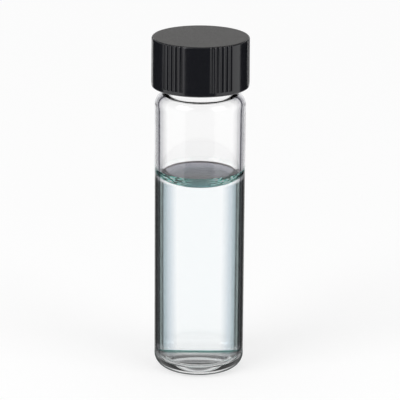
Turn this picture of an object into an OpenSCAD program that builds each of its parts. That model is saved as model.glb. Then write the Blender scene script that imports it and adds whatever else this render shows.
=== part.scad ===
// Glass sample vial, 2 dram size: a tube-drawn glass vial with a screw neck, a ribbed phenolic
// screw cap, its rubber liner, and the liquid in it. Millimetres, Z up, origin under the middle
// of the base.

/* [Glass vial] */
// Outside diameter of the tube
body_d = 16.6; // [15.4:0.1:20]
// Height of the glass, base to rim
vial_h = 60; // [50:0.5:80]
// Wall of the tube
wall = 0.95; // [0.8:0.05:1.2]
// Outside radius of the heel, where the wall turns into the base
heel_r = 2.4; // [1.6:0.1:3.2]
// Inside radius between the wall and the floor
inner_heel_r = 2.2; // [1.6:0.1:2.6]
// Glass between the resting plane and the floor at the wall
floor_z = 1.55; // [1.3:0.05:2]
// Rise of the floor at the middle
floor_rise = 0.8; // [0.5:0.1:1.2]
// Height of the hollow under the base
dish_h = 1; // [0.6:0.1:1.3]
// Width of the flat ring that the vial stands on
foot_w = 2; // [1:0.1:2.4]
// Outside radius of the shoulder
shoulder_r = 2.5; // [2:0.1:3]
// Radius between the shoulder and the neck
neck_fillet_r = 0.8; // [0.6:0.1:1.2]
// Radius between the inside of the shoulder and the mouth
throat_r = 0.9; // [0.7:0.1:2]

/* [Screw neck] */
// Diameter over the thread
thread_d = 14.6; // [14.2:0.1:15]
// Height of the thread ridge
thread_h = 0.8; // [0.7:0.05:0.9]
// Width of the thread ridge at the wall
thread_w = 1.2; // [1.1:0.05:1.3]
// Rise of the thread in one turn
pitch = 2.12; // [2.1:0.01:2.3]
// Turns of thread on the glass
glass_turns = 1.6; // [1:0.1:1.6]
// Glass between the thread root and the mouth
neck_wall = 1.2; // [1:0.05:1.4]
// Height of the neck, shoulder to rim
neck_h = 6.7; // [6.6:0.1:8]
// Rounding at the outside of the rim
lip_r = 0.4; // [0.2:0.05:0.5]
// Rounding at the mouth
mouth_r = 0.3; // [0.15:0.05:0.4]
// Drop from the rim to the top of the thread ridge
thread_drop = 0.8; // [0.6:0.1:1]

/* [Cap] */
// Height of the cap
cap_h = 9.2; // [9:0.1:9.6]
// Thickness of the cap's top
panel_t = 1.57; // [1.3:0.05:1.8]
// Wall of the skirt outside its thread root
skirt_t = 1.4; // [1.2:0.05:1.7]
// How much the skirt's radius grows from top to bottom
cap_draft = 0.04; // [0:0.01:0.1]
// Rounding of the cap's top edge
cap_edge_r = 0.35; // [0.2:0.05:0.6]
// Rounding of the skirt's lower edge
hem_r = 0.25; // [0.15:0.05:0.4]
// Turns of thread in the cap
cap_turns = 1.4; // [1:0.1:1.6]
// Width of the cap thread's flat crest
crest_w = 0.45; // [0.35:0.05:0.55]
// Plain wall between the skirt's lower edge and its thread
lead = 0.35; // [0.2:0.05:0.6]
// Clearance round the neck thread, on the radius
thread_gap = 0.2; // [0.15:0.01:0.25]
// Clearance between the crest of the cap's thread and the neck
crest_gap = 0.3; // [0.25:0.05:0.4]
// Clearance along Z on the side of the thread that draws the cap down
flank_gap = 0.12; // [0.08:0.01:0.16]

/* [Finger grooves] */
// Groups of grooves round the cap
groups = 6; // [4:1:6]
// Grooves in each group
grooves = 5; // [3:1:6]
// Angle from groove to groove, in degrees
groove_angle = 6; // [5:0.5:7]
// Depth of a groove
groove_h = 0.24; // [0.1:0.02:0.36]
// Width of a groove at the surface
groove_w = 0.54; // [0.3:0.02:0.6]
// Plain band under the grooves
band_h = 0.75; // [0.5:0.05:1.5]
// Turn of the first group from straight ahead, in degrees
group_turn = 25.5; // [0:0.5:60]

/* [Liner] */
// Thickness of the liner
liner_t = 1.5; // [1:0.1:1.6]
// Clearance round the liner, on the radius
liner_gap = 0.12; // [0.05:0.01:0.2]

/* [Fill] */
// Height of the liquid at the middle of its surface
fill_h = 35.5; // [15:0.5:42]
// Climb of the liquid at the glass
climb = 2.8; // [2:0.1:3.2]
// Distance over which the climb falls to a third
climb_reach = 1.8; // [1.4:0.1:2.2]
// Clearance between the liquid's solid and the glass
film = 0.02; // [0.01:0.01:0.05]

/* [Hidden] */

$fn = 96;
arc_step = 9;        // most degrees from point to point along an arc
arc_points = 6;      // fewest steps along an arc
thread_steps = 36;   // sections in one turn of thread
fade = 50;           // degrees over which a thread rises from its wall
thread_root = 0.35;  // how far a thread's solid reaches into its wall
thread_sink = 0.08;  // how far a thread starts below its wall
over = 1;            // how far a cut reaches past what it cuts
surface_steps = 24;  // steps from the glass to the middle of the liquid's surface
crowding = 1.6;      // above 1, the steps crowd towards the glass

body_r = body_d / 2;
inner_r = body_r - wall;
thread_r = thread_d / 2;
neck_r = thread_r - thread_h;
mouth_bore_r = neck_r - neck_wall;

// The base: a shallow dish, a flat foot ring and the heel.
foot_r = body_r - heel_r;
dish_r = foot_r - foot_w;
dish_R = (dish_r * dish_r + dish_h * dish_h) / (2 * dish_h);

// The floor: a low dome inside the inner heel.
floor_r = inner_r - inner_heel_r;
floor_R = (floor_r * floor_r + floor_rise * floor_rise) / (2 * floor_rise);

// The shoulder: an arc from the body and an arc into the neck. They meet in a tangent, or have a
// flat between them on a wide body. The inside follows it one wall further in.
neck_z = vial_h - neck_h;
shoulder_a = acos(max(0, 1 - (body_r - neck_r) / (shoulder_r + neck_fillet_r)));
shoulder_z = neck_z - (shoulder_r + neck_fillet_r) * sin(shoulder_a);
inner_shoulder_r = shoulder_r - wall;
inner_shoulder_a = acos(max(0, 1 - (inner_r - mouth_bore_r) / (inner_shoulder_r + throat_r)));
throat_z = shoulder_z + (inner_shoulder_r + throat_r) * sin(inner_shoulder_a);

// The cap, down from its top. It bears on the liner, and the liner on the rim.
liner_z = vial_h;
panel_z = liner_z + liner_t;
cap_top = panel_z + panel_t;
cap_z = cap_top - cap_h;
cap_bore_r = thread_r + thread_gap;
cap_r = cap_bore_r + skirt_t;
liner_r = cap_bore_r - liner_gap;

// The cap's thread: a narrower ridge than the glass one, so that it turns freely between its turns.
cap_thread_h = cap_bore_r - neck_r - crest_gap;
cap_thread_w = pitch - thread_w - flank_gap;

// Middle of each thread at its lower end. The cap's runs under the glass one, a flank apart.
glass_thread_z = vial_h - thread_drop - thread_w / 2 - pitch * glass_turns;
thread_below = (thread_w + crest_w) / 2 + flank_gap;
cap_thread_z = cap_z + lead + cap_thread_w / 2;
cap_thread_turn = (cap_thread_z + thread_below - glass_thread_z) / pitch * 360;

// Rounded grooves, centred just outside the skirt.
groove_r = (groove_w * groove_w / 4 + groove_h * groove_h) / (2 * groove_h);
groove_z = cap_z + band_h;

// The liquid's surface: its climb dies away from the glass.
function surface_z(r) = fill_h + climb * exp(-(inner_r - r) / climb_reach);

// Points along an arc round [x, z], from angle a to angle b.
function arc(x, z, r, a, b) =
    let (n = max(arc_points, ceil(abs(b - a) / arc_step)))
    [for (i = [0:n]) let (t = a + (b - a) * i / n) [x + r * cos(t), z + r * sin(t)]];

// The outside of the glass, from under the middle of the base up to the rim.
function outside() = concat(
    arc(0, dish_h - dish_R, dish_R, 90, acos(dish_r / dish_R)),
    arc(foot_r, heel_r, heel_r, -90, 0),
    arc(body_r - shoulder_r, shoulder_z, shoulder_r, 0, shoulder_a),
    arc(neck_r + neck_fillet_r, neck_z, neck_fillet_r, 180 + shoulder_a, 180),
    arc(neck_r - lip_r, vial_h - lip_r, lip_r, 0, 90)
);

// The floor and the inner heel, drawn a clearance inside the glass, from the middle out.
function floor_line(gap) = concat(
    arc(0, floor_z + floor_rise - floor_R + gap, floor_R, 90, acos(floor_r / floor_R)),
    arc(floor_r, floor_z + inner_heel_r, inner_heel_r - gap, -90, 0)
);

// The inside of the glass, from the middle of the floor up to the rim.
function inside() = concat(
    floor_line(0),
    arc(body_r - shoulder_r, shoulder_z, inner_shoulder_r, 0, inner_shoulder_a),
    arc(mouth_bore_r + throat_r, throat_z, throat_r, 180 + inner_shoulder_a, 180),
    arc(mouth_bore_r + mouth_r, vial_h - mouth_r, mouth_r, 180, 90)
);

function reversed(points) = [for (i = [len(points) - 1:-1:0]) points[i]];

// A screw thread about Z that stands out of a wall (side 1) or into a bore (side -1). width is
// its width at the wall, and ridge lists its section as [height over the wall, place along Z].
// The flanks run on into the wall, and both ends fade into it.
module thread(wall_r, side, width, ridge, turns, z, turn) {
    steps = ceil(turns * thread_steps);
    first = ridge[0];
    root = width / 2 + (width / 2 + first[1]) * thread_root / first[0];
    section = concat([[-thread_root, -root]], ridge, [[-thread_root, root]]);
    m = len(section);
    points = [
        for (i = [0:steps])
        let (a = 360 * turns * i / steps)
        let (grown = min(1, a / fade, (360 * turns - a) / fade))
        for (p = section)
        let (out = p[0] < 0 ? p[0] : p[0] * grown - thread_sink * (1 - grown))
        [
            (wall_r + side * out) * cos(a + turn),
            (wall_r + side * out) * sin(a + turn),
            z + pitch * a / 360 + p[1]
        ]
    ];
    sides = [
        for (i = [0:steps - 1])
        for (k = [0:m - 1])
        let (p = i * m + k, q = i * m + (k + 1) % m)
        each [[p, q, q + m], [p, q + m, p + m]]
    ];
    start = [for (k = [m - 1:-1:0]) k];
    end = [for (k = [0:m - 1]) steps * m + k];
    faces = concat(sides, [start], [end]);
    polyhedron(points, side > 0 ? faces : [for (f = faces) reversed(f)], convexity = 6);
}

// The glass, drawn from tube: base, body, shoulder and screw neck in one piece.
module vial() {
    ridge = [for (a = [30:30:150]) [thread_h * sin(a), -thread_w / 2 * cos(a)]];
    color("azure", 0.35) {
        rotate_extrude() polygon(concat(outside(), reversed(inside())));
        thread(neck_r, 1, thread_w, ridge, glass_turns, glass_thread_z, 0);
    }
}

// One finger groove, open through the cap's top edge.
module groove() {
    translate([cap_r + cap_draft + groove_r - groove_h, 0, groove_z])
        cylinder(r = groove_r, h = cap_h + over, $fn = 32);
}

// The skirt and the top as one turned shape, before the bore, the grooves and the thread.
module cap_blank() {
    rotate_extrude() polygon(concat(
        [[0, cap_z]],
        arc(cap_r + cap_draft - hem_r, cap_z + hem_r, hem_r, -90, 0),
        arc(cap_r - cap_edge_r, cap_top - cap_edge_r, cap_edge_r, 0, 90),
        [[0, cap_top]]
    ));
}

// The cap, moulded in phenolic resin with its thread and its groups of finger grooves.
module cap() {
    ridge = [[cap_thread_h, -crest_w / 2], [cap_thread_h, crest_w / 2]];
    color("#1d1d1f") {
        difference() {
            cap_blank();
            translate([0, 0, cap_z - over])
                cylinder(r = cap_bore_r, h = panel_z - cap_z + over);
            for (g = [0:groups - 1])
                for (i = [0:grooves - 1])
                    rotate(group_turn - 90 + 360 * g / groups + groove_angle * (i - (grooves - 1) / 2))
                        groove();
        }
        thread(cap_bore_r, -1, cap_thread_w, ridge, cap_turns, cap_thread_z, cap_thread_turn);
    }
}

// The liner, a rubber disc punched from sheet and held in the cap above its thread.
module cap_liner() {
    color("ivory")
        translate([0, 0, liner_z])
            cylinder(r = liner_r, h = liner_t);
}

// The liquid, up to the curve of its surface.
module liquid() {
    edge_r = inner_r - film;
    color("paleturquoise", 0.5)
        rotate_extrude() polygon(concat(
            floor_line(film),
            [
                for (i = [0:surface_steps])
                let (r = edge_r * (1 - pow(i / surface_steps, crowding)))
                [r, surface_z(r)]
            ]
        ));
}

vial();
cap();
cap_liner();
liquid();
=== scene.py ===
import math
import bpy
import numpy as np
from mathutils import Matrix


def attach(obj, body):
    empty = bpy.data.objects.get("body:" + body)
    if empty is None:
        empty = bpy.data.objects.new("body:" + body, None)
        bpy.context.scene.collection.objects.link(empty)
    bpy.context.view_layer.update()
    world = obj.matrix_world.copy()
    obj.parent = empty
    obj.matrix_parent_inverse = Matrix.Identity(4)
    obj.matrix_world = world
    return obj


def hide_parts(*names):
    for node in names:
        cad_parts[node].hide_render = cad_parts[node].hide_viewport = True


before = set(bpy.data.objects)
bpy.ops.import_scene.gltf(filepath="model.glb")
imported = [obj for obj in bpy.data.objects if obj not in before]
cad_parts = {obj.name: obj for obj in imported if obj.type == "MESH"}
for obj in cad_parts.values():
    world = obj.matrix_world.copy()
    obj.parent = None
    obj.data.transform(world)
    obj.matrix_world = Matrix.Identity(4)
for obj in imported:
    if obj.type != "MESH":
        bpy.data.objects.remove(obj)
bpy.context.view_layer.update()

# ---- The glass ------------------------------------------------------------------------------
# A 2 dram vial, drawn from clear borosilicate tube in one piece. The base is closed and the
# shoulder, neck and screw thread are rolled in a flame, which leaves every surface smooth and a
# little wavy, and the rim fire-polished round.

body_r = 8.3
wall = 0.95
vial_h = 60.0
inner_r = body_r - wall
heel_r = 2.4
inner_heel_r = 2.2
foot_w = 2.0
dish_h = 1.0
floor_z = 1.55
floor_rise = 0.8
neck_r = 6.5
mouth_bore_r = 5.3
shoulder_r = 2.5
neck_fillet_r = 0.8
throat_r = 0.9
shoulder_z = 50.36
throat_z = 52.777
neck_z = 53.3
lip_r = 0.4
mouth_r = 0.3
pitch = 2.12
glass_thread_z = 55.21
longest = 1.6
columns = 240


def arc(r, z, radius, start, end, steps):
    """Points [r, z] along a circle: the centre plus radius times (cos, sin) of an angle that
    goes from start to end, in degrees."""
    t = np.radians(np.linspace(start, end, steps + 1))
    return np.stack([r + radius * np.cos(t), z + radius * np.sin(t)], axis=1)


def filled(line, most):
    """The same line, with each stretch that is longer than most cut into equal steps."""
    length = np.hypot(*np.diff(line, axis=0).T)
    cuts = np.maximum(1, np.ceil(length / most)).astype(int)
    before = np.cumsum(cuts) - cuts
    step = np.arange(cuts.sum()) - np.repeat(before, cuts)
    t = np.append(np.repeat(np.arange(len(cuts)), cuts) + step / np.repeat(cuts, cuts), len(cuts))
    return np.stack([np.interp(t, np.arange(len(line)), line[:, k]) for k in (0, 1)], axis=1)


def dome(r, z, rise, steps):
    """Points from the axis out to radius r along a flat circular dome that is rise higher in its
    middle than at its edge, where it is at z."""
    radius = (r * r + rise * rise) / (2 * rise)
    return arc(0, z + rise - radius, radius, 90, math.degrees(math.acos(r / radius)), steps)


def turned(r, z, turn):
    """A surface of revolution: the point at row i and column j is r (cos, sin) of turn, and z."""
    return np.stack([r * np.cos(turn), r * np.sin(turn), z + 0 * turn], axis=2)


def closed_surface(name, grid):
    """A mesh from grid[row, column] in mm. The columns close on themselves, and the first and
    the last row are one point each. The faces look outwards where the rows go up the outside."""
    rows, columns = grid.shape[:2]
    points = np.concatenate([grid[0, :1], grid[1:-1].reshape(-1, 3), grid[-1, :1]])
    here = np.arange(columns)
    after = np.roll(here, -1)
    ring = 1 + columns * np.arange(rows - 2)[:, None]
    quads = np.stack([ring[:-1] + here, ring[:-1] + after, ring[1:] + after, ring[1:] + here], 2)
    start = np.stack([0 * here, after + 1, here + 1], 1)
    end = np.stack([ring[-1] + here, ring[-1] + after, 0 * here + len(points) - 1], 1)
    mesh = bpy.data.meshes.new(name)
    faces = start.tolist() + quads.reshape(-1, 4).tolist() + end.tolist()
    mesh.from_pydata((points * 0.001).tolist(), [], faces)
    mesh.polygons.foreach_set("use_smooth", np.ones(len(mesh.polygons), dtype=bool))
    mesh.update()
    piece = bpy.data.objects.new(name, mesh)
    bpy.context.scene.collection.objects.link(piece)
    return piece


def store_rows(piece, name, values):
    """Stores on each point of a closed surface the value of its row, as the attribute name."""
    across = (len(piece.data.vertices) - 2) // (len(values) - 2)
    values = np.concatenate([values[:1], np.repeat(values[1:-1], across), values[-1:]])
    layer = piece.data.attributes.new(name, "FLOAT", "POINT")
    layer.data.foreach_set("value", values.astype(np.float32))


def thread(z, turn, low, start, turns, crest, flank, height):
    """How far a screw thread stands out at height z and angle turn: full height for crest either
    side of its middle, then a smooth step down over flank. The middle climbs one pitch in each
    turn from low at the angle start, and both ends fade over 50 degrees."""
    swell = 0 * z * turn
    for lap in range(math.ceil(turns) + 1):
        run = np.degrees(turn) - start + 360 * lap
        across = np.clip((np.abs(z - low - pitch * run / 360) - crest) / flank, 0, 1)
        grown = np.clip(np.minimum(run, 360 * turns - run) / 50, 0, 1)
        ridge = height * (1 - across ** 2 * (3 - 2 * across)) * grown ** 2 * (3 - 2 * grown)
        swell = np.maximum(swell, ridge)
    return swell


outside = np.concatenate([
    dome(body_r - heel_r - foot_w, 0, dish_h, 12),
    arc(body_r - heel_r, heel_r, heel_r, -90, 0, 20),
    arc(body_r - shoulder_r, shoulder_z, shoulder_r, 0, 63, 18),
    arc(neck_r + neck_fillet_r, neck_z, neck_fillet_r, 243, 180, 12),
    arc(neck_r - lip_r, vial_h - lip_r, lip_r, 0, 90, 8),
])
inside = np.concatenate([
    dome(inner_r - inner_heel_r, floor_z, floor_rise, 12),
    arc(inner_r - inner_heel_r, floor_z + inner_heel_r, inner_heel_r, -90, 0, 16),
    arc(body_r - shoulder_r, shoulder_z, shoulder_r - wall, 0, 80.6, 14),
    arc(mouth_bore_r + throat_r, throat_z, throat_r, 260.6, 180, 14),
    arc(mouth_bore_r + mouth_r, vial_h - mouth_r, mouth_r, 180, 90, 6),
])
neck = (outside[:, 1] > neck_z - 0.3) & (outside[:, 0] < neck_r + 0.3)
outer_line = np.concatenate([filled(outside[~neck], longest), filled(outside[neck], 0.085)])
glass_line = np.concatenate([outer_line, filled(inside, longest)[::-1]])
r, z = glass_line[:, :1], glass_line[:, 1:]
turn = np.linspace(0, 2 * np.pi, columns, endpoint=False)[None, :]
on_outside = np.arange(len(r)) < len(outer_line)
on_neck = on_outside[:, None] & (z > neck_z - 0.3)
ridge = thread(z, turn, glass_thread_z, 0, 1.6, 0.22, 0.52, 0.8)
glass = closed_surface("glass", turned(r + on_neck * ridge, z, turn))

# Where each painted edge shade lies on the glass: on the outer skin but not under the foot, from the
# heel up to the level of the liquid, and on the heel itself.
store_rows(glass, "outer_skin", on_outside * np.interp(r[:, 0], [6.1, 6.45], [0, 1]))
store_rows(glass, "wet", np.interp(z[:, 0], [2.4, 3.8, 37.4, 38.6], [0, 1, 1, 0]))
store_rows(glass, "heel", np.interp(z[:, 0], [2.4, 3.8], [1, 0]))


def linear(colour):
    """The linear RGBA of an sRGB colour #rrggbb, by the sRGB curve."""
    c = np.array([int(colour[k:k + 2], 16) for k in (1, 3, 5)]) / 255
    return (*np.where(c <= 0.04045, c / 12.92, ((c + 0.055) / 1.055) ** 2.4).tolist(), 1.0)


def add_node(tree, kind, inputs=None, stops=None, **settings):
    """Adds a node with its settings. inputs gives each socket a value, or another node's output
    to link, and stops are a colour ramp's [place, colour]."""
    node = tree.nodes.new(kind)
    for name, value in settings.items():
        setattr(node, name, value)
    for key, value in (inputs or {}).items():
        if isinstance(value, bpy.types.NodeSocket):
            tree.links.new(value, node.inputs[key])
        else:
            node.inputs[key].default_value = value
    for k, (place, colour) in enumerate(stops or []):
        stop = node.color_ramp.elements[k] if k < 2 else node.color_ramp.elements.new(place)
        stop.position = place
        stop.color = linear(colour)
    return node


def new_material(name):
    """A material with an empty node tree, and the tree."""
    material = bpy.data.materials.new(name)
    material.use_nodes = True
    material.node_tree.nodes.clear()
    return material, material.node_tree


# Drawn and flame-worked borosilicate: clear and without colour of its own, with sharp reflections.
# Its colour here carries painted shade: the edges are painted dark, as a clear tube in front of a
# white wall looks, darker where liquid stands behind them, and with a dark painted rim on the heel.
# This painted edge shade goes by how steeply the glass is met, and is tuned to a nearly level view.
# The waves are about 3 mm wide and 17 mm long, as drawing leaves them.
waves_per_m = (350.0, 350.0, 60.0)
wave_depth = 0.000025
plain_white = linear("#ffffff")

borosilicate, tree = new_material("drawn borosilicate glass")
facing = add_node(tree, "ShaderNodeLayerWeight", {"Blend": 0.5})
# Painted shade: these ramps darken the glass colour by facing, on dry glass and on glass with liquid
# behind it.
dry_edge_shade = add_node(tree, "ShaderNodeValToRGB", {"Fac": facing.outputs["Facing"]}, stops=[
    (0.32, "#ffffff"), (0.54, "#ccccd0"), (0.565, "#585860"), (0.59, "#585860"),
    (0.62, "#b0b0b4"), (0.84, "#f0f0f2")])
wet_edge_shade = add_node(tree, "ShaderNodeValToRGB", {"Fac": facing.outputs["Facing"]}, stops=[
    (0.32, "#ffffff"), (0.54, "#c8c8cc"), (0.57, "#6c6c70"), (0.61, "#a0a0a4"),
    (0.72, "#484848"), (0.88, "#c8c8c8")])
wet = add_node(tree, "ShaderNodeAttribute", attribute_name="wet")
side_edge_shade = add_node(tree, "ShaderNodeMix", {
    "Factor": wet.outputs["Fac"],
    "A": dry_edge_shade.outputs["Color"],
    "B": wet_edge_shade.outputs["Color"]}, data_type="RGBA")
# Painted shade: a dark rim on the heel, only where the glass is met from outside.
heel_edge_shade = add_node(tree, "ShaderNodeValToRGB", {"Fac": facing.outputs["Facing"]}, stops=[
    (0.60, "#ffffff"), (0.80, "#5c6866"), (1.0, "#8c9090")])
met_from = add_node(tree, "ShaderNodeNewGeometry")
heel_edge_shade = add_node(tree, "ShaderNodeMix", {
    "Factor": met_from.outputs["Backfacing"],
    "A": heel_edge_shade.outputs["Color"],
    "B": plain_white}, data_type="RGBA")
heel = add_node(tree, "ShaderNodeAttribute", attribute_name="heel")
edge = add_node(tree, "ShaderNodeMix", {
    "Factor": heel.outputs["Fac"],
    "A": side_edge_shade.outputs["Result"],
    "B": heel_edge_shade.outputs["Result"]}, data_type="RGBA")
outer_skin = add_node(tree, "ShaderNodeAttribute", attribute_name="outer_skin")
painted_skin_shade = add_node(tree, "ShaderNodeMix", {
    "Factor": outer_skin.outputs["Fac"],
    "A": plain_white,
    "B": edge.outputs["Result"]}, data_type="RGBA")
place = add_node(tree, "ShaderNodeTexCoord")
stretched = add_node(tree, "ShaderNodeVectorMath", {
    0: place.outputs["Object"], 1: waves_per_m}, operation="MULTIPLY")
waves = add_node(tree, "ShaderNodeTexNoise", {
    "Vector": stretched.outputs["Vector"], "Scale": 1.0, "Detail": 1.0})
waves = add_node(tree, "ShaderNodeBump", {
    "Height": waves.outputs["Fac"], "Strength": 1.0, "Distance": wave_depth})
clear = add_node(tree, "ShaderNodeBsdfGlass", {
    "Color": painted_skin_shade.outputs["Result"],
    "Roughness": 0.0,
    "IOR": 1.474,
    "Normal": waves.outputs["Normal"]})
add_node(tree, "ShaderNodeOutputMaterial", {"Surface": clear.outputs["BSDF"]})
glass.data.materials.append(borosilicate)
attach(glass, "vial")
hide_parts("vial")

# ---- The liquid -----------------------------------------------------------------------------
# A thin, clear liquid with a pale blue-green tint, which fills a little over half of the vial and
# climbs the glass in a meniscus. It wets the glass, so its skin reaches a little into the wall:
# a film of air between them would show as a mirror.

fill_h = 35.5
climb = 2.83
skin = 0.03
top_steps = 60

bottom = np.concatenate([
    dome(inner_r - inner_heel_r, floor_z - skin, floor_rise, 16),
    arc(inner_r - inner_heel_r, floor_z + inner_heel_r, inner_heel_r + skin, -90, 0, 16),
])
# The free surface falls away from the wall exponentially: nearly all of the climb over 2 mm, and
# the last of it over 0.2 mm, where the liquid meets the glass almost upright.
top_r = (inner_r + skin) * (1 - np.linspace(0, 1, top_steps + 1) ** 1.7)
inward = inner_r - top_r
fall = 0.93 * np.exp(-inward / 1.95) + 0.07 * np.exp(-np.maximum(inward, 0) / 0.2)
top_z = fill_h + climb * fall
wall_z = (fill_h + 0.9, fill_h + 1.4, top_z[0] - 0.02, top_z[0] - 0.003)
below_top = [[inner_r + skin, z] for z in wall_z]
liquid_side = filled(np.concatenate([bottom, below_top]), longest)
liquid_line = np.concatenate([liquid_side, np.stack([top_r, top_z], axis=1)])
turn = np.linspace(0, 2 * np.pi, columns, endpoint=False)[None, :]
liquid = closed_surface("liquid_fill", turned(liquid_line[:, :1], liquid_line[:, 1:], turn))

# Where each painted shade lies on the liquid: its free surface, the part of its side that touches the
# straight wall, and how far in from the wall a point is, as a share of the radius.
on_top = np.arange(len(liquid_line)) >= len(liquid_side)
on_wall = np.interp(liquid_line[:, 1], [3.3, 4.2, fill_h + 0.9, fill_h + 1.4], [0, 1, 1, 0])
store_rows(liquid, "free_surface", on_top)
store_rows(liquid, "glass_wall", on_wall * ~on_top)
store_rows(liquid, "from_glass", np.maximum(inner_r - liquid_line[:, 0], 0) / inner_r)

# Water with a trace of dye, which tints it pale blue-green. Its colour carries painted shade: pale in
# the middle of the tube and painted dark towards both sides. The free surface is painted grey shade
# from above, with a painted dark rim. From beneath it is a band of painted shade in the dye's teal,
# with painted strokes of glint and dark, 1.25 mm apart along the wall, which are fixed to the surface
# and leave out the middle of the front and back. A thin painted line of dark teal shade runs round
# the floor's edge.
strokes_per_m = (800.0, 800.0, 0.0)
strokes_inward = (0.0, 0.0, 26.0)

pale_liquid, tree = new_material("pale tinted water")
facing = add_node(tree, "ShaderNodeLayerWeight", {"Blend": 0.5})
met_from = add_node(tree, "ShaderNodeNewGeometry")
from_inside = met_from.outputs["Backfacing"]
from_wall = add_node(tree, "ShaderNodeAttribute", attribute_name="from_glass").outputs["Fac"]
free_surface = add_node(tree, "ShaderNodeAttribute", attribute_name="free_surface").outputs["Fac"]

# Painted shade: dark bands by facing on the liquid's side, where it touches the straight wall.
painted_side_shade = add_node(tree, "ShaderNodeValToRGB", {"Fac": facing.outputs["Facing"]}, stops=[
    (0.09, "#ffffff"), (0.15, "#d4dce2"), (0.208, "#b0c0c4"), (0.222, "#445250"),
    (0.245, "#a8b8b4"), (0.265, "#445250"), (0.31, "#303434"), (0.36, "#545858"),
    (0.44, "#c8d0d0")])
glass_wall = add_node(tree, "ShaderNodeAttribute", attribute_name="glass_wall")
painted_wall_shade = add_node(tree, "ShaderNodeMix", {
    "Factor": glass_wall.outputs["Fac"],
    "A": plain_white,
    "B": painted_side_shade.outputs["Color"]}, data_type="RGBA")
# Painted shade: a thin dark teal line round the edge of the liquid's floor, seen from inside.
floor_line_shade = add_node(tree, "ShaderNodeValToRGB", {"Fac": from_wall}, stops=[
    (0.165, "#ffffff"), (0.185, "#3c8c84"), (0.28, "#2c6c66"), (0.31, "#ffffff")])
side_tone = add_node(tree, "ShaderNodeMix", {
    "Factor": from_inside,
    "A": painted_wall_shade.outputs["Result"],
    "B": floor_line_shade.outputs["Color"]}, data_type="RGBA")

# Painted shade: the free surface seen from above is painted grey, with a dark rim near the wall.
painted_top_shade = add_node(tree, "ShaderNodeValToRGB", {"Fac": from_wall}, stops=[
    (0.052, "#ffffff"), (0.061, "#4e464a"), (0.079, "#4e464a"), (0.095, "#a0a0a8"),
    (0.25, "#808288"), (0.60, "#7c7c7e")])
place = add_node(tree, "ShaderNodeTexCoord")
round_wall = add_node(tree, "ShaderNodeVectorMath", {
    0: place.outputs["Object"], 1: strokes_per_m}, operation="MULTIPLY")
inward = add_node(tree, "ShaderNodeCombineXYZ", {"Z": from_wall})
stroke = add_node(tree, "ShaderNodeVectorMath", {
    0: inward.outputs["Vector"],
    1: strokes_inward,
    2: round_wall.outputs["Vector"]}, operation="MULTIPLY_ADD")
stroke = add_node(tree, "ShaderNodeTexNoise", {
    "Vector": stroke.outputs["Vector"], "Scale": 1.0, "Detail": 1.0, "Distortion": 0.5})
# Painted glints and shade: light and dark strokes under the meniscus, at the sides and near the wall.
painted_glint_strokes = add_node(tree, "ShaderNodeValToRGB", {"Fac": stroke.outputs["Fac"]}, stops=[
    (0.44, "#083c38"), (0.49, "#349c90"), (0.54, "#84e0d4"), (0.57, "#d4fff8")])
# Painted shade in the dye's teal under the meniscus, darker further in from the wall.
teal_band_shade = add_node(tree, "ShaderNodeValToRGB", {"Fac": from_wall}, stops=[
    (0.02, "#749898"), (0.25, "#7cacb0"), (0.36, "#547070")])
sideways = add_node(tree, "ShaderNodeSeparateXYZ", {"Vector": place.outputs["Object"]})
sideways = add_node(tree, "ShaderNodeMath", {0: sideways.outputs["X"]}, operation="ABSOLUTE")
sideways = add_node(tree, "ShaderNodeMapRange", {
    "Value": sideways.outputs[0], "From Min": 0.001, "From Max": 0.004})
by_wall = add_node(tree, "ShaderNodeMapRange", {
    "Value": from_wall, "From Min": 0.26, "From Max": 0.36, "To Min": 1.0, "To Max": 0.0})
glint_strokes_mask = add_node(tree, "ShaderNodeMath", {
    0: sideways.outputs["Result"], 1: by_wall.outputs["Result"]}, operation="MULTIPLY")
beneath = add_node(tree, "ShaderNodeMix", {
    "Factor": glint_strokes_mask.outputs[0],
    "A": teal_band_shade.outputs["Color"],
    "B": painted_glint_strokes.outputs["Color"]}, data_type="RGBA").outputs["Result"]
top_tone = add_node(tree, "ShaderNodeMix", {
    "Factor": from_inside, "A": painted_top_shade.outputs["Color"], "B": beneath}, data_type="RGBA")
water_tone = add_node(tree, "ShaderNodeMix", {
    "Factor": free_surface,
    "A": side_tone.outputs["Result"],
    "B": top_tone.outputs["Result"]}, data_type="RGBA")
clear = add_node(tree, "ShaderNodeBsdfGlass", {
    "Color": water_tone.outputs["Result"], "Roughness": 0.0, "IOR": 1.333})

# The meniscus bends light so many ways that from beneath it looks milky, up to halfway in. This
# milky part is lit matt and carries the painted teal shade and painted glints above.
scattered = add_node(tree, "ShaderNodeBsdfDiffuse", {"Color": beneath})
through = add_node(tree, "ShaderNodeBsdfTranslucent", {"Color": beneath})
milky = add_node(tree, "ShaderNodeAddShader", {0: scattered.outputs[0], 1: through.outputs[0]})
milkiness = add_node(tree, "ShaderNodeMapRange", {
    "Value": from_wall, "From Min": 0.44, "From Max": 0.53, "To Min": 0.85, "To Max": 0.0})
milkiness = add_node(tree, "ShaderNodeMath", {
    0: milkiness.outputs["Result"], 1: free_surface}, operation="MULTIPLY")
milkiness = add_node(tree, "ShaderNodeMath", {
    0: milkiness.outputs[0], 1: from_inside}, operation="MULTIPLY")
water = add_node(tree, "ShaderNodeMixShader", {
    0: milkiness.outputs[0], 1: clear.outputs[0], 2: milky.outputs[0]})
dye = add_node(tree, "ShaderNodeVolumeAbsorption", {"Color": linear("#8fd8e8"), "Density": 5.0})
add_node(tree, "ShaderNodeOutputMaterial", {
    "Surface": water.outputs[0], "Volume": dye.outputs["Volume"]})
liquid.data.materials.append(pale_liquid)
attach(liquid, "vial")
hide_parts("liquid")

# ---- The cap --------------------------------------------------------------------------------
# A black screw cap, compression moulded in phenolic resin: a smooth skirt with six groups of five
# finger grooves cut down from the top edge, a flat satin top, and a thread inside.

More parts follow.
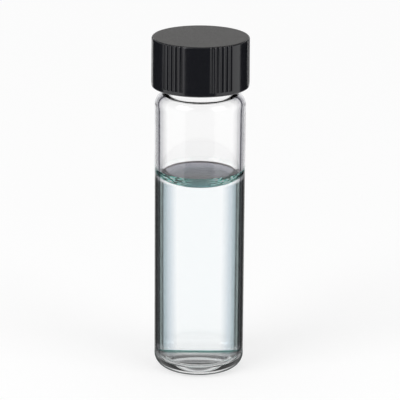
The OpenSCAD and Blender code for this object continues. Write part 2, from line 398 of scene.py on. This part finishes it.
cap_r = 8.9
cap_draft = 0.04
cap_z = 53.87
cap_top = 63.07
panel_z = 61.5
cap_bore_r = 7.5
cap_edge_r = 0.35
hem_r = 0.25
groove_h = 0.24
groove_w = 0.54
groove_z = cap_z + 0.75
groove_step = 6
group_step = 60
group_middle = 25.5
cap_thread_z = 54.62
cap_columns = 600
cap_side_r = cap_r + cap_draft

cap_line = np.concatenate([
    [[0, panel_z]],
    arc(cap_bore_r - 0.2, panel_z - 0.2, 0.2, 90, 0, 4),
    filled(np.array([[cap_bore_r, panel_z - 0.4], [cap_bore_r, cap_z + 0.2]]), 0.11),
    arc(cap_bore_r + 0.12, cap_z + 0.12, 0.12, 180, 270, 4),
    arc(cap_side_r - hem_r, cap_z + hem_r, hem_r, -90, 0, 8),
    filled(np.array([[cap_side_r, groove_z - 0.1], [cap_side_r, groove_z + 0.1]]), 0.02),
    filled(np.array([[cap_side_r, groove_z + 0.2], [cap_r, cap_top - cap_edge_r - 0.1]]), 1.2),
    arc(cap_r - cap_edge_r, cap_top - cap_edge_r, cap_edge_r, 0, 90, 10),
    [[cap_r - 0.45, cap_top], [cap_r - 0.6, cap_top], [cap_r - 1.2, cap_top], [4, cap_top], [0, cap_top]],
])
r, z = cap_line[:, :1], cap_line[:, 1:]
turn = np.linspace(0, 2 * np.pi, cap_columns, endpoint=False)[None, :]


def grooves(turn, z):
    """How deep the finger grooves cut at the angle turn and height z: a round channel across,
    groove_h deep, repeated every groove_step degrees in groups of five that stand group_step
    degrees apart. It ends in a short ledge at groove_z."""
    away = np.degrees(turn) - group_middle + 90
    from_group = (away + group_step / 2) % group_step - group_step / 2
    nearest = np.clip(np.round(from_group / groove_step), -2, 2)
    from_groove = np.radians(np.abs(from_group - nearest * groove_step)) * cap_r
    across = np.clip(from_groove / (groove_w / 2), 0, 1)
    down = np.clip((z - groove_z + 0.04) / 0.08, 0, 1)
    return groove_h * np.sqrt(1 - across ** 2) * down ** 2 * (3 - 2 * down)


hem_row = np.argmin(cap_line[:, 1])
outer_side = np.arange(len(r))[:, None] > hem_row
bore_side = np.arange(len(r))[:, None] < hem_row
cut = np.minimum(r, cap_side_r - grooves(turn, z))
ridge = thread(z, turn, cap_thread_z, 60.6, 1.4, 0.2, 0.3, 0.7) * (r > cap_bore_r - 0.01)
radius = np.where(outer_side, cut, r + 0 * turn) - bore_side * ridge
cap = closed_surface("screw_cap", turned(radius, z, turn))

# Compression-moulded phenolic: nearly black, glossy on the side where the mould was polished and
# satin on the top, with a faint grain of 0.25 mm that breaks up its reflections.
grains_per_m = 4000.0
grain_depth = 0.000003

phenolic, tree = new_material("moulded black phenolic")
place = add_node(tree, "ShaderNodeTexCoord")
height = add_node(tree, "ShaderNodeSeparateXYZ", {"Vector": place.outputs["Object"]})
top = add_node(tree, "ShaderNodeMapRange", {
    "Value": height.outputs["Z"], "From Min": 0.06300, "From Max": 0.06306})
grain = add_node(tree, "ShaderNodeTexNoise", {
    "Vector": place.outputs["Object"], "Scale": grains_per_m, "Detail": 2.0})
rough = add_node(tree, "ShaderNodeMapRange", {
    "Value": top.outputs["Result"], "To Min": 0.15, "To Max": 0.42})
uneven = add_node(tree, "ShaderNodeMapRange", {
    "Value": grain.outputs["Fac"],
    "From Min": 0.3, "From Max": 0.7, "To Min": -0.06, "To Max": 0.06})
rough = add_node(tree, "ShaderNodeMath", {
    0: rough.outputs["Result"], 1: uneven.outputs["Result"]}, operation="ADD")
resin = add_node(tree, "ShaderNodeMix", {
    "Factor": top.outputs["Result"],
    "A": linear("#1a1b1f"),
    "B": linear("#24221f")}, data_type="RGBA")
relief = add_node(tree, "ShaderNodeBump", {
    "Height": grain.outputs["Fac"], "Strength": 1.0, "Distance": grain_depth})
moulded = add_node(tree, "ShaderNodeBsdfPrincipled", {
    "Base Color": resin.outputs["Result"],
    "Roughness": rough.outputs[0],
    "IOR": 1.55,
    "Normal": relief.outputs["Normal"]})
add_node(tree, "ShaderNodeOutputMaterial", {"Surface": moulded.outputs["BSDF"]})
cap.data.materials.append(phenolic)
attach(cap, "cap")
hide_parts("cap")

# ---- The liner ------------------------------------------------------------------------------
# A disc punched from off-white rubber sheet, held in the cap above its thread and pressed on the
# rim of the glass.

# Rubber sheet: matt and off-white, mottled by specks a third of a millimetre wide.
specks_per_m = 3000.0

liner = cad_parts["cap_liner"]
rubber, tree = new_material("off-white liner rubber")
place = add_node(tree, "ShaderNodeTexCoord")
specks = add_node(tree, "ShaderNodeTexNoise", {
    "Vector": place.outputs["Object"], "Scale": specks_per_m, "Detail": 3.0})
tone = add_node(tree, "ShaderNodeValToRGB", {"Fac": specks.outputs["Fac"]}, stops=[
    (0.3, "#cfc8b6"), (0.7, "#e3ddce")])
matt = add_node(tree, "ShaderNodeMapRange", {
    "Value": specks.outputs["Fac"], "To Min": 0.6, "To Max": 0.8})
relief = add_node(tree, "ShaderNodeBump", {
    "Height": specks.outputs["Fac"], "Strength": 1.0, "Distance": 0.00002})
sheet = add_node(tree, "ShaderNodeBsdfPrincipled", {
    "Base Color": tone.outputs["Color"],
    "Roughness": matt.outputs["Result"],
    "Normal": relief.outputs["Normal"]})
add_node(tree, "ShaderNodeOutputMaterial", {"Surface": sheet.outputs["BSDF"]})
liner.data.materials.clear()
liner.data.materials.append(rubber)

# ---- The studio -----------------------------------------------------------------------------
# A white table that runs back to a white backdrop, a darker room above that only reflections and
# refractions see, black cards that only reflections see, and two large soft lamps.

floor_mesh = bpy.data.meshes.new("table")
edge = np.array([[-1, -1], [1, -1], [1, 1], [-1, 1]]) * 3.0
floor_mesh.from_pydata([(x, y, -0.00002) for x, y in edge.tolist()], [], [(0, 1, 2, 3)])
table = bpy.data.objects.new("table", floor_mesh)
bpy.context.scene.collection.objects.link(table)


def seen_directly(tree):
    """The light path, and 1 where the camera sees a surface, straight or in gloss or glass."""
    path = add_node(tree, "ShaderNodeLightPath")
    seen = add_node(tree, "ShaderNodeMath", {
        0: path.outputs["Is Camera Ray"], 1: path.outputs["Is Glossy Ray"]}, operation="MAXIMUM")
    seen = add_node(tree, "ShaderNodeMath", {
        0: seen.outputs[0], 1: path.outputs["Is Transmission Ray"]}, operation="MAXIMUM")
    return path, seen.outputs[0]


# White laminate: matt, with a soft shadow. Most of its white is emission, which only the camera,
# gloss and glass see, so that it throws no light on the vial. Its emission is a little less under
# the foot, a painted shadow there, and a little more far away, where the lamps don't reach.
white_table, tree = new_material("white table")
path, seen = seen_directly(tree)
paint = add_node(tree, "ShaderNodeBsdfDiffuse", {"Color": (0.36, 0.36, 0.36, 1.0)})
place = add_node(tree, "ShaderNodeTexCoord")
from_axis = add_node(tree, "ShaderNodeVectorMath", {0: place.outputs["Object"]}, operation="LENGTH")
# Painted shadow: less emission under the foot of the vial.
painted_foot_shadow = add_node(tree, "ShaderNodeMapRange", {
    "Value": from_axis.outputs["Value"],
    "From Min": 0.0050, "From Max": 0.0066, "To Min": 0.56, "To Max": 0.66})
distant = add_node(tree, "ShaderNodeMapRange", {
    "Value": from_axis.outputs["Value"],
    "From Min": 0.1, "From Max": 1.0, "To Min": 0.0, "To Max": 0.14})
strength = add_node(tree, "ShaderNodeMath", {
    0: painted_foot_shadow.outputs["Result"], 1: distant.outputs["Result"]}, operation="ADD")
glow = add_node(tree, "ShaderNodeEmission", {
    "Color": plain_white, "Strength": strength.outputs[0]})
lit = add_node(tree, "ShaderNodeAddShader", {0: paint.outputs[0], 1: glow.outputs[0]})
plain = add_node(tree, "ShaderNodeBsdfDiffuse", {"Color": (0.8, 0.8, 0.8, 1.0)})
shown = add_node(tree, "ShaderNodeMixShader", {0: seen, 1: plain.outputs[0], 2: lit.outputs[0]})
add_node(tree, "ShaderNodeOutputMaterial", {"Surface": shown.outputs[0]})
floor_mesh.materials.append(white_table)

world = bpy.data.worlds.new("white studio")
bpy.context.scene.world = world
world.use_nodes = True
tree = world.node_tree
tree.nodes.clear()
path, seen = seen_directly(tree)
direction = add_node(tree, "ShaderNodeTexCoord")
height = add_node(tree, "ShaderNodeSeparateXYZ", {"Vector": direction.outputs["Generated"]})
backdrop = add_node(tree, "ShaderNodeValToRGB", {"Fac": height.outputs["Z"]}, stops=[
    (0.10, "#ffffff"), (0.22, "#f4f4f4"), (0.32, "#dcdcdc"), (0.50, "#909090"),
    (0.64, "#747474"), (0.93, "#747474"), (0.97, "#f3f3f3")])
shown = add_node(tree, "ShaderNodeMix", {
    "Factor": path.outputs["Is Camera Ray"],
    "A": backdrop.outputs["Color"],
    "B": 1.0}, data_type="FLOAT")
level = add_node(tree, "ShaderNodeMix", {
    "Factor": seen, "A": 0.55, "B": shown.outputs["Result"]}, data_type="FLOAT")
air = add_node(tree, "ShaderNodeBackground", {
    "Color": plain_white, "Strength": level.outputs["Result"]})
add_node(tree, "ShaderNodeOutputWorld", {"Surface": air.outputs[0]})


card_steps = 24


def dark_card(name, azimuth, spread, radius, height):
    """A curved black card that stands on the table at radius from the vial, spread degrees to
    both sides of azimuth. Only reflections see it. Sizes in metres."""
    t = np.radians(np.linspace(azimuth - spread, azimuth + spread, card_steps + 1) - 90)
    foot = np.stack([radius * np.cos(t), radius * np.sin(t), 0 * t], axis=1)
    points = np.concatenate([foot, foot + [0, 0, height]])
    k = np.arange(card_steps)
    above = k + card_steps + 1
    mesh = bpy.data.meshes.new(name)
    mesh.from_pydata(points.tolist(), [], np.stack([k, k + 1, above + 1, above], 1).tolist())
    mesh.materials.append(black_card)
    card = bpy.data.objects.new(name, mesh)
    card.visible_camera = card.visible_diffuse = False
    card.visible_transmission = card.visible_shadow = False
    bpy.context.scene.collection.objects.link(card)


black_card, tree = new_material("black card")
felt = add_node(tree, "ShaderNodeBsdfDiffuse", {"Color": linear("#0a0a0a")})
add_node(tree, "ShaderNodeOutputMaterial", {"Surface": felt.outputs[0]})
card_r = 0.13
dark_card("front_card", 0, 36, card_r, 0.2)
dark_card("right_card", 125, 22, card_r, 0.1)
dark_card("left_card", -121, 26, card_r, 0.1)


vial_middle = 0.032


def soft_lamp(name, azimuth, elevation, distance, size, watts):
    """A square area lamp that faces the middle of the vial. Azimuth 0 is in front, at -Y, and 90
    to the right. Distance and size are in metres."""
    lamp = bpy.data.lights.new(name, "AREA")
    lamp.size = size
    lamp.energy = watts
    holder = bpy.data.objects.new(name, lamp)
    swing = Matrix.Rotation(math.radians(azimuth), 4, "Z")
    tilt = Matrix.Rotation(math.radians(90 - elevation), 4, "X")
    reach = Matrix.Translation((0, 0, distance))
    holder.matrix_world = Matrix.Translation((0, 0, vial_middle)) @ swing @ tilt @ reach
    bpy.context.scene.collection.objects.link(holder)


soft_lamp("key_lamp", -50, 40, 0.8, 0.45, 2.6)
soft_lamp("fill_lamp", 55, 35, 0.8, 0.45, 1.8)

# ---- The camera -----------------------------------------------------------------------------
# A long lens, 17 degrees above level, in front of the vial.

look_down = 17.02
roll = 0.39

lens = bpy.data.cameras.new("camera")
lens.lens = 227.4
lens.sensor_width = 36
camera = bpy.data.objects.new("camera", lens)
pitch_down = Matrix.Rotation(math.radians(90 - look_down), 4, "X")
turn_about = Matrix.Rotation(math.radians(roll), 4, "Z")
camera.matrix_world = Matrix.Translation((0.000065, -0.4457, 0.1685)) @ pitch_down @ turn_about
bpy.context.scene.collection.objects.link(camera)
bpy.context.scene.camera = camera
bpy.context.scene.view_settings.view_transform = "Standard"
